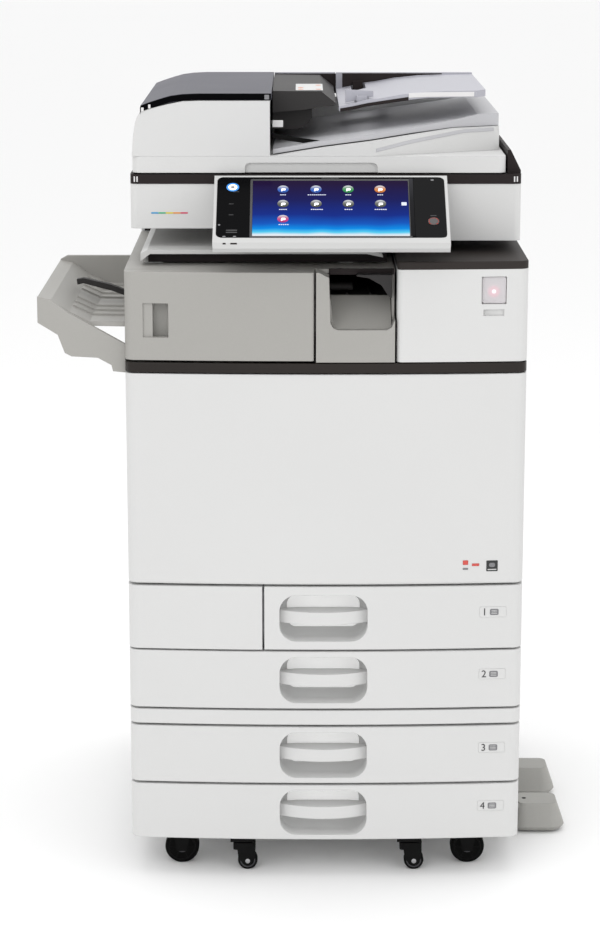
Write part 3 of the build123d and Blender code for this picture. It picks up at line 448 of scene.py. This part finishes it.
def box(name, x0, x1, u0, u1, z0, z1, mat, body, bevel=0.0):
    bm = bmesh.new()
    bmesh.ops.create_cube(bm, size=1.0)
    a, b = P(x0, u0, z0), P(x1, u1, z1)
    for v in bm.verts:
        v.co = Vector([(a[i] + b[i]) / 2 + v.co[i] * (b[i] - a[i]) for i in range(3)])
    return obj_from(bm, name, mat, body, bevel / 1000)


def strip_u(name, top, drop, u0, u1, mat, body, bevel=0.0):
    """a band that follows an X-Z line and hangs `drop` mm below it"""
    return prism_u(name, list(top) + [(x, z - drop) for x, z in reversed(top)], u0, u1, mat, body,
        bevel)


def flat_matrix(x, u, z):
    m = Matrix.Identity(4)
    m.translation = P(x, u, z)
    return m


def axis_matrix(x, u, z, facing):
    """local Z along facing, one of -Y, Y, X, -X"""
    n = {"-Y": Vector((0, -1, 0)), "Y": Vector((0, 1, 0)), "X": Vector((1, 0, 0)),
        "-X": Vector((-1, 0, 0))}[facing]
    up = Vector((0, 0, 1))
    m = Matrix((up.cross(n), up, n)).transposed().to_4x4()
    m.translation = P(x, u, z)
    return m


# ------------------------------------------------------------------ extra materials
def gradient(name, stops, axis, lo, hi, strength, wobble=0.0, base=0.2, rough=0.18):
    """a glowing surface, a printed one or a painted sheen, its colour graded along one of its own axes"""
    m, t, b = new_mat(name)
    n = t.nodes
    tc = n.new("ShaderNodeTexCoord")
    sep = n.new("ShaderNodeSeparateXYZ")
    link(t, tc.outputs["Object"], sep.inputs["Vector"])
    noi = n.new("ShaderNodeTexNoise")
    noi.inputs["Scale"].default_value = 18.0
    noi.inputs["Detail"].default_value = 1.0
    link(t, tc.outputs["Object"], noi.inputs["Vector"])
    wob = n.new("ShaderNodeMath")
    wob.operation = "MULTIPLY_ADD"
    link(t, noi.outputs["Fac"], wob.inputs[0])
    wob.inputs[1].default_value = wobble
    link(t, sep.outputs[axis], wob.inputs[2])
    mr = n.new("ShaderNodeMapRange")
    mr.inputs["From Min"].default_value = lo
    mr.inputs["From Max"].default_value = hi
    link(t, wob.outputs["Value"], mr.inputs["Value"])
    ramp = n.new("ShaderNodeValToRGB")
    els = ramp.color_ramp.elements
    while len(els) < len(stops):
        els.new(0.5)
    for e, (pos, col) in zip(els, stops):
        e.position = pos
        e.color = list(col) + [1]
    link(t, mr.outputs["Result"], ramp.inputs["Fac"])
    dim = n.new("ShaderNodeMix")
    dim.data_type = "RGBA"
    dim.blend_type = "MULTIPLY"
    dim.inputs["Factor"].default_value = 1.0
    dim.inputs["B"].default_value = (base, base, base, 1)
    link(t, ramp.outputs["Color"], dim.inputs["A"])
    link(t, dim.outputs["Result"], b.inputs["Base Color"])
    link(t, ramp.outputs["Color"], b.inputs["Emission Color"])
    b.inputs["Emission Strength"].default_value = strength
    b.inputs["Roughness"].default_value = rough
    b.inputs["Specular IOR Level"].default_value = 0.15
    return m


def screen_mat():
    """the home screen: dark violet at the top, bright blue and a white wave at the bottom"""
    m = gradient("screen_glow", [
        (0.0, (0.80, 0.82, 0.90)), (0.055, (0.88, 0.92, 0.97)), (0.105, (0.10, 0.66, 0.95)),
        (0.17, (0.0, 0.28, 0.86)), (0.26, (0.005, 0.105, 0.56)), (0.42, (0.006, 0.028, 0.27)),
        (0.70, (0.010, 0.012, 0.115)), (1.0, (0.017, 0.007, 0.045))],
        "Y", -0.0605, 0.0605, 0.90, wobble=0.010, base=0.02, rough=0.12)
    m.node_tree.nodes["Principled BSDF"].inputs["Specular IOR Level"].default_value = 0.02
    return m


SCREEN = screen_mat()
ICONS = {}
for key, col in (("blue", (0.01, 0.13, 0.62)), ("green", (0.01, 0.33, 0.07)), ("orange", (0.85, 0.25, 0.03)),
                 ("grey", (0.10, 0.11, 0.08)), ("pink", (0.72, 0.03, 0.25))):
    ICONS[key] = gradient("icon_" + key, [
        (0.0, tuple(c * 0.5 for c in col)), (0.35, col), (0.62, tuple(c * 0.6 + 0.15 for c in col)),
        (1.0, (0.80, 0.82, 0.86))], "Y", -0.0082, 0.0082, 0.75, base=0.1)
CAPTION = emissive("caption_grey", (0.42, 0.45, 0.55), 0.6)
GLYPH = emissive("glyph_white", (0.82, 0.83, 0.86), 0.8)
FAINT = plastic("print_faint", (0.030, 0.030, 0.033), rough=0.4, speck=0.05, bump=0.0)
PRINT = plastic("print_grey", (0.20, 0.20, 0.21), rough=0.5, speck=0.05, bump=0.0)
RING_BLUE = emissive("ring_blue", (0.02, 0.20, 0.62), 0.55)
RING_RED = emissive("ring_red", (0.62, 0.035, 0.012), 0.65)
# painted sheen: a faintly glowing strip, lighter towards its top, stands in for a reflection on the bezel
BEZEL_PAINTED_SHEEN = gradient("bezel_sheen", [(0.0, (0.010, 0.010, 0.012)), (0.6, (0.02, 0.02, 0.024)),
                                      (1.0, (0.07, 0.07, 0.08))], "Y", -0.062, 0.064, 0.2, base=0.3)
BEZEL_PAINTED_SHEEN.node_tree.nodes["Principled BSDF"].inputs["Specular IOR Level"].default_value = 0.04
CHARGLASS = plastic("panel_charcoal", (0.004, 0.004, 0.0045), rough=0.16, speck=0.0, mottle=0.1, bump=0.0,
                    spec=0.05, rough_var=0.03)
LABEL_BLACK = plastic("energy_label", (0.020, 0.022, 0.022), rough=0.5, speck=0.05, bump=0.0)
LABEL_RED = plastic("small_mark_red", (0.58, 0.075, 0.06), rough=0.5, speck=0.02, bump=0.0)
ORANGE = plastic("decal_orange", (0.78, 0.20, 0.04), rough=0.45, speck=0.02, bump=0.0)
PINK = gradient("lamp_pink", [(0.0, (0.86, 0.30, 0.40)), (1.0, (0.92, 0.44, 0.52))], "Y", -0.012, 0.012, 0.15,
                base=0.8)
SCREW = steel("screw_steel", (0.42, 0.42, 0.43), 0.34)
GREEN = plastic("lever_green", (0.03, 0.24, 0.13), rough=0.4, speck=0.03)
RAINBOW = [plastic("stripe_%d" % i, c, rough=0.45, speck=0.01, bump=0.0) for i, c in enumerate(
    [(0.03, 0.32, 0.62), (0.05, 0.45, 0.22), (0.75, 0.62, 0.05), (0.80, 0.30, 0.05), (0.65, 0.05, 0.12)])]

# ------------------------------------------------------------------ tray labels: numeral and paper mark
label_at = {1: (249, 416), 2: (249.5, 319.7), 3: (250.5, 204), 4: (250.5, 111.5)}
for i, (lx, lz) in label_at.items():
    who = "tray_%d" % i
    plate("tray%d_label" % i, 40, 16, 2.5, 0.35, front_matrix(lx, lz, 0.00005), PALE, who,
        0.1)
    text_mesh("tray%d_numeral" % i, str(i), 15.5, front_matrix(lx - 12.5, lz - 0.3, 0.0006), INK, who,
              0.3)
    plate("tray%d_mark" % i, 13, 9.5, 2.2, 0.3, front_matrix(lx + 2, lz, 0.0004), PRINT, who,
        0.05)
    for k, dz in enumerate((-2.2, 0.1, 2.4)):
        plate("tray%d_mark_line%d" % (i, k), 8.5, 0.9, 0.4, 0.2, front_matrix(lx + 2, lz + dz, 0.0006),
            PALE, who)

# ------------------------------------------------------------------ touch panel face
plate("screen", 225.6, 121.0, 1.2, 0.35, panel_matrix(6.3, 75.3, 0.00005), SCREEN, "panel",
    0.1)
ring("screen_lip", rounded_rect(233, 128.5, 2.5), rounded_rect(226, 121.4, 1.2), 0.3,
     panel_matrix(6.3, 75.3, 0.00003), FAINT, "panel")
columns, rows = (-62.6, -14.7, 31.9, 78.4), (116.8, 84.6, 51.6)
icon_of = {(0, 0): "blue", (1, 0): "blue", (2, 0): "green", (3, 0): "orange", (0, 1): "grey", (1, 1): "grey",
           (2, 1): "grey", (3, 1): "grey", (0, 2): "pink"}
cap_w = {(0, 0): 9, (1, 0): 25, (2, 0): 9, (3, 0): 9, (0, 1): 12, (1, 1): 16, (2, 1): 12, (3, 1): 18,
    (0, 2): 13}
for (c, r), kind in icon_of.items():
    x, s = columns[c], rows[r]
    disc("icon_%d_%d" % (c, r), 8.1, 0.25, panel_matrix(x, s, 0.0004), ICONS[kind], "panel",
        0.1)
    plate("icon_glyph_%d_%d" % (c, r), 6.0, 4.6, 1.4, 0.2, panel_matrix(x + 0.6, s - 0.6, 0.0006), GLYPH,
        "panel")
    plate("icon_foot_%d_%d" % (c, r), 2.0, 3.0, 0.9, 0.2, panel_matrix(x - 1.8, s - 3.2, 0.0006), GLYPH,
        "panel")
    w = cap_w[(c, r)]
    k = 0
    while k * 3.0 < w:
        plate("caption_%d_%d_%d" % (c, r, k), 2.3, 1.7, 0.5, 0.2,
              panel_matrix(x - w / 2 + 1.5 + k * 3.0, s - 12.6, 0.0004), CAPTION, "panel")
        k += 1
plate("screen_widget", 7.5, 7.0, 0.8, 0.2, panel_matrix(112.5, 84.3, 0.0004), CAPTION, "panel")
ring("badge_ring", circle(9.2), circle(6.6), 0.35, panel_matrix(-135.8, 121.5, 0.0001), RING_BLUE, "panel",
     0.1)
disc("badge_face", 6.5, 0.3, panel_matrix(-135.8, 121.5, 0.0001), GLYPH, "panel", 0.1)
plate("badge_mark", 5.4, 4.2, 1.0, 0.2, panel_matrix(-135.8, 121.5, 0.0004), PRINT, "panel")
for k, (x, s, w) in enumerate(((-137.5, 84.5, 7), (-137.2, 60.5, 7), (-131, 111.5, 9))):
    plate("left_key_%d" % k, w, 1.3, 0.6, 0.15, panel_matrix(x, s, 0.0001), FAINT, "panel")
for k in range(2):
    plate("notice_%d" % k, 16, 2.2, 0.6, 0.15, panel_matrix(-136, 27 - 4.5 * k, 0.0001), FAINT, "panel")
disc("panel_led", 1.7, 0.3, panel_matrix(-154, 38.6, 0.0001), PRINT, "panel", 0.1)
for k, x in enumerate((-146.5, -131.5)):
    plate("port_mark_%d" % k, 4.5, 2.4, 1.0, 0.15, panel_matrix(x, 13.6, 0.0001), PRINT, "panel")
plate("top_mark", 26, 2.2, 0.6, 0.15, panel_matrix(6.3, 142.4, 0.0001), FAINT, "panel")
plate("right_field", 45.0, 130.0, 5.0, 0.2, panel_matrix(149.5, 76.5, 0.00002), CHARGLASS, "panel")
# the painted sheen strip beside the screen
plate("bezel_sheen", 6.0, 126.0, 1.0, 0.5, panel_matrix(123.6, 77.5, 0.00002), BEZEL_PAINTED_SHEEN, "panel",
      0.2)
plate("right_mark", 4.5, 3.0, 1.2, 0.15, panel_matrix(155.0, 137.5, 0.0003), PRINT, "panel")
plate("stop_caption", 9.0, 1.6, 0.5, 0.15, panel_matrix(154.0, 58.5, 0.0003), FAINT, "panel")
KX, KS = 154.0, 46.0
ring("stop_ring", rounded_rect(14.6, 14.6, 5.4), rounded_rect(11.4, 11.4, 4.0), 0.35,
     panel_matrix(KX, KS, 0.00065), RING_RED, "key", 0.1)
disc("stop_dot", 2.3, 0.3, panel_matrix(KX, KS + 0.4, 0.00065), GLYPH, "key", 0.1)
for k, x in enumerate((-146.0, -132.5)):
    w = 4.5 if k == 0 else 9.5
    m4 = axis_matrix(x, -45.3, 972.4, "-Y")
    plate("port_%d" % k, w, 3.6, 0.8, 0.5, m4, DARK, "panel", 0.1)

# ------------------------------------------------------------------ feeder lid band, decals, arms
lid_line = [(-272, 1152.9), (-271, 1156.2), (-259, 1160.6), (-242, 1166.1), (-227, 1170.3), (-210, 1172.6),
            (-189, 1173.5), (-80.6, 1173.5)]
strip_u("gloss_trim", lid_line, 9, 96.1, 97.2, GLOSSBLACK, "feed_lid", 0.3)
box("lid_clip_left", -270.5, -266.5, 95.6, 97.0, 1147.5, 1153.5, SWITCH, "feed_lid", 0.6)
box("lid_clip_mid", -260, -256.5, 95.6, 97.0, 1152, 1158, SWITCH, "feed_lid", 0.6)
box("lid_clip_right", -90, -83, 95.6, 97.0, 1165, 1172, PRINT, "feed_lid", 0.6)
plate("separator_decal", 41, 124, 2, 0.25, flat_matrix(-24, 252, 1170.9), PALE, "feeder",
    0.05)
for k, (x, u) in enumerate(((-37, 208), (-10, 208), (-37, 240), (-10, 286))):
    disc("decal_dot_%d" % k, 4.2, 0.2, flat_matrix(x, u, 1171.2), ORANGE, "feeder",
        0.05)
box("delivery_prong", -79, -63, 127, 131, 1122, 1132, SWITCH, "feeder", 0.8)
strip_u("delivery_arm", [(-79, 1113), (-50, 1108), (-4, 1101.6)], 7, 128, 131, BLACK, "feeder",
    0.3)
strip_u("tray_edge_light", [(124, 1167.5), (152, 1169), (222, 1169.6)], 7, 179.2, 180.2, SWITCH, "sheet_tray",
        0.3)
# painted shade: a dark band along the shaded part of the sheet tray's front edge
strip_u("tray_edge_dark", [(22, 1145), (40, 1148), (63, 1153), (83, 1156), (124, 1162)], 5, 179.2, 180.2,
    DARK,
        "sheet_tray", 0.3)
# ------------------------------------------------------------------ power window, door marks, name stripe
disc("power_lamp", 8.5, 0.5, axis_matrix(243, 2.2, 897, "-Y"), PINK, "switch", 0.15)
disc("power_lamp_core", 3.0, 0.3, axis_matrix(243, 1.6, 897, "-Y"), GLYPH, "switch", 0.1)
for k, (x, z, w, h, mt) in enumerate(((207, 492.5, 8, 7, LABEL_RED), (207, 483, 8, 3, PRINT),
                                      (222, 489, 11, 4, LABEL_RED), (246.5, 487, 17, 16.5, LABEL_BLACK))):
    plate("door_mark_%d" % k, w, h, 1.0, 0.25, front_matrix(x, z, 0.00005), mt, "door", 0.05)
plate("door_mark_star", 9, 6.5, 2.8, 0.2, front_matrix(246.5, 488.5, 0.0004), PRINT, "door")
plate("door_mark_bar", 13, 1.6, 0.4, 0.2, front_matrix(246.5, 481.5, 0.0004), PALE, "door")
for k, mt in enumerate(RAINBOW):
    plate("name_stripe_%d" % k, 10.6, 2.2, 0.3, 0.25, axis_matrix(-252 + 10.8 * k, 95.9, 999, "-Y"), mt,
        "body")

# ------------------------------------------------------------------ casters: treads, hubs and bearing caps
for t, s in (("left", -1), ("right", 1)):
    for w, u in (("front", 58.0), ("rear", 600.0)):
        who = "wheel_%s_%s" % (w, t)
        for face, du in (("-Y", -10.0), ("Y", 10.0)):
            mx = axis_matrix(s * 219.5, u + du, 26, face)
            tag = "%s_%s_%s" % (w, t, "a" if face == "-Y" else "b")
            lathe("wheel_rim_" + tag, [(21.5, -0.4), (21.5, 0.5), (19.5, 0.9), (18.6, 0.3), (18.6, -0.4)],
                mx, BLACK,
                  who)
            lathe("wheel_hub_" + tag, [(5.0, -0.4), (9.0, -0.4), (9.0, 0.5), (7.6, 1.0), (5.0, 1.0)], mx,
                DRUM, who)
            for k in range(6):
                a = math.radians(60 * k)
                spoke = mx @ Matrix.Rotation(a, 4, "Z") @ Matrix.Translation((0.0138, 0, -0.0002))
                plate("wheel_web_%s_%d" % (tag, k), 9.2, 2.0, 0.6, 0.6, spoke, BLACK, who,
                    0.1)
    who = "roller_" + t
    for face, du in (("-Y", -7.0), ("Y", 7.0)):
        mx = axis_matrix(s * 127 + 9, 27 + du, 15, face)
        tag = "%s_%s" % (t, "a" if face == "-Y" else "b")
        lathe("roller_rim_" + tag, [(11.5, -0.3), (11.5, 0.35), (10.0, 0.6), (9.4, 0.2), (9.4, -0.3)], mx,
            DRUM, who)
    lathe("axle_cap_" + t, [(0.05, -0.3), (3.6, -0.3), (3.6, 0.6), (2.4, 1.2), (0.05, 1.2)],
          axis_matrix(s * 127 + 9, 16.0, 15, "-Y"), SCREW, "swivel_" + t)

# ------------------------------------------------------------------ trays inside: fences, lift plate, label
fences = {1: (362, 448, -84), 2: (273.5, 344.5, -273.5), 3: (155, 224.5, -273.5), 4: (66, 129.5, -273.5)}
for i, (z0, z1, left) in fences.items():
    who = "tray_%d" % i
    mid = (left + 273.5) / 2
    reach = 105 if i == 1 else 148
    base = z0 + (3.2 if i != 4 else 6.0)
    top = z1 - 8
    plate("lift_plate_%d" % i, 2 * reach + 60, 300, 6, 1.6, flat_matrix(mid, 290, base + 4), STEEL, who,
          0.3)
    for sx, tag in ((-1, "l"), (1, "r")):
        x = mid + sx * (reach + 22)
        if abs(x - mid) > (273.5 - left) / 2 - 8:
            x = mid + sx * ((273.5 - left) / 2 - 12)
        box("side_fence_%d%s" % (i, tag), x - 2, x + 2, 190, 380, base + 6, top, DRUM, who,
            1.0)
        box("side_fence_foot_%d%s" % (i, tag), x - 7, x + 7, 250, 320, base + 6, base + 10, GREEN, who,
            1.2)
    box("end_fence_%d" % i, mid - 22, mid + 22, 462, 468, base + 6, top, DRUM, who, 1.2)
    box("tray_label_%d" % i, mid - 60, mid + 60, 51.6, 52.4, z1 - 12, z1 - 2.5, PALE, who)


# ------------------------------------------------------------------ rear and sides: screws, plates, sockets
for x in (-262, 262):
    for z in (262, 480, 700, 930):
        lathe("rear_screw_%d_%d" % (x, z), [(0.05, -0.2), (4.2, -0.2), (4.2, 0.8), (3.2, 1.6), (0.05, 1.6)],
              axis_matrix(x, 672, z, "Y"), SCREW, "body", n=20)
plate("rating_plate", 70, 42, 3, 0.4, axis_matrix(120, 672, 340, "Y"), PRINT, "body",
    0.1)
for k in range(4):
    plate("rating_line_%d" % k, 54, 2.0, 0.5, 0.2, axis_matrix(120, 672.35, 353 - 8 * k, "Y"), PALE, "body")
plate("socket_plate", 132, 60, 4, 0.8, axis_matrix(-150, 672, 560, "Y"), LIGHT, "body", 0.3)
for k, (dx, w, h) in enumerate(((-44, 15, 13), (-18, 14, 7), (6, 12, 11), (38, 30, 12))):
    plate("socket_%d" % k, w, h, 1.0, 0.5, axis_matrix(-150 - dx, 672.7, 560, "Y"), DARK, "body",
        0.2)
    plate("socket_in_%d" % k, w - 4, h - 4, 0.8, 0.2, axis_matrix(-150 - dx, 673.1, 560, "Y"), STEEL, "body")
for sx, x in (("L", -293.5), ("R", 293.5)):
    face = "-X" if sx == "L" else "X"
    for u in (120, 560):
        for z in (110, 190):
            lathe("bank_screw_%s_%d_%d" % (sx, u, z),
                  [(0.05, -0.2), (3.6, -0.2), (3.6, 0.6), (2.8, 1.2), (0.05, 1.2)],
                  axis_matrix(x, u, z, face), SCREW, "body", n=20)
for k, u in enumerate((209.5, 377.5)):
    disc("foot_eye_%d" % k, 3.4, 0.5, flat_matrix(320, u, 45.8), BLACK, "body", 0.15)


# ------------------------------------------------------------------ handle recess liners: glowing plates, painted light that lifts the shade in the recesses
for i, z in ((1, 408), (2, 312), (3, 194.25), (4, 103.25)):
    plate("recess_liner_%d" % i, 126, 66, 22, 0.4, axis_matrix(-3, 33.6, z, "-Y"), PAINTED_LIGHT_LINER, "tray_%d" % i)

# ------------------------------------------------------------------ delivery throat behind the trim
def slant_strip(name, line, drop, mat, body):
    """a thin band on the slanting white rim, following an X-Z line"""
    bm = bmesh.new()
    rows = []
    for x, z in line:
        u = 97 + (x - 66) * 94 / 195
        rows.append([bm.verts.new(P(x + dx, u + du, zz)) for dx, du, zz in
                     ((0.3, -0.6, z), (0.3, -0.6, z - drop), (-0.1, 0.2, z - drop), (-0.1, 0.2, z))])
    for a, b in zip(rows, rows[1:]):
        for k in range(4):
            bm.faces.new((a[k], b[k], b[(k + 1) % 4], a[(k + 1) % 4]))
    bm.faces.new(rows[0])
    bm.faces.new(rows[-1][::-1])
    bmesh.ops.recalc_face_normals(bm, faces=bm.faces[:])
    return obj_from(bm, name, mat, body, 0, False)


# painted shade: a grey strip on the white rim where a groove shows shaded
slant_strip("rim_groove_painted_shade", [(74, 1093), (126, 1103.5), (207, 1115.5), (252, 1116)], 5, DELIVERY, "feeder")
box("rear_fence", -79, 100, 521.8, 524.8, 1140, 1171.5, DARK, "feeder", 0.4)
box("rear_fence_cap", -79, 19, 521.8, 524.8, 1171.6, 1173.8, TRAY, "feeder", 0.3)
for k, x in enumerate((-281.5, -277.5, 277.5, 281.5)):
    box("frame_clip_%d" % k, x - 1, x + 1, 94.2, 95.2, 1045, 1053, SWITCH, "body", 0.2)
for side, x in (("left", -293.2), ("right", 290.2)):
    box("upper_side_cover_" + side, x, x + 3, 440.5, 661, 794, 957, WHITE, "body", 0.3)
# painted shade: dark sheets in front of the inner tray legs, across the back of the space under the scanner
# and over the exit opening, standing in for shadow
box("throat_shade_strip", -262, 90, 84, 88, 928, 941, DARK, "body", 0.5)
box("throat_shade_back", -288, 99, 438.4, 439.6, 927, 955, DARK, "body", 0.3)
strip_u("throat_shade_brow", [(4, 927), (99, 927)], 9, 24.4, 26, DARK, "body", 0.4)
